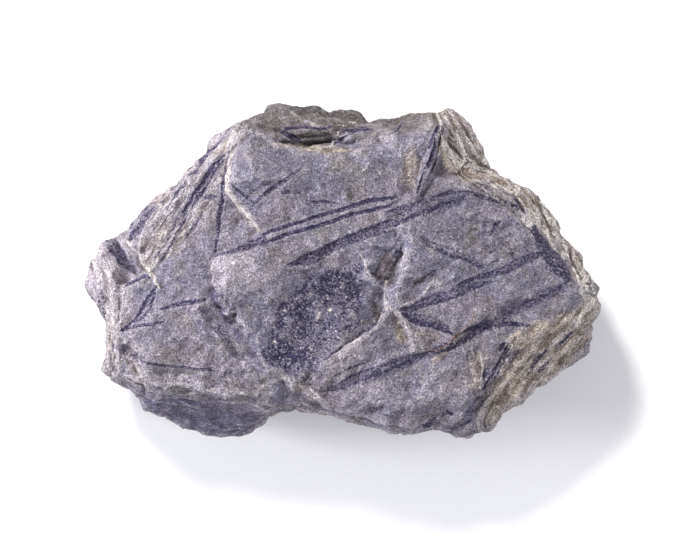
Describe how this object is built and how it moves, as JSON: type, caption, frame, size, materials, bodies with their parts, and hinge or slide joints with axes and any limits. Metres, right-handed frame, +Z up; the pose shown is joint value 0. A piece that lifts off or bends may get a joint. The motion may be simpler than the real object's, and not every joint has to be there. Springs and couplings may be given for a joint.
{
  "type": "fossil fern plate",
  "caption": "Broken slab of grey shale lying on its back, with dark carbonised fern stems and blades pressed across its uneven upper face.",
  "frame": {"origin": "middle of the plate's bounding box, at the level of its flat foot", "axes": "+X along the plate's length, towards its pointed end; +Y towards its two-peaked edge; +Z up, out of the fossil face"},
  "size_m": [0.13, 0.084, 0.038],
  "materials": {
    "shale": "matt broken shale with dark carbon films"
  },
  "bodies": {
    "root": {"shale_slab": "shale"}
  },
  "joints": []
}
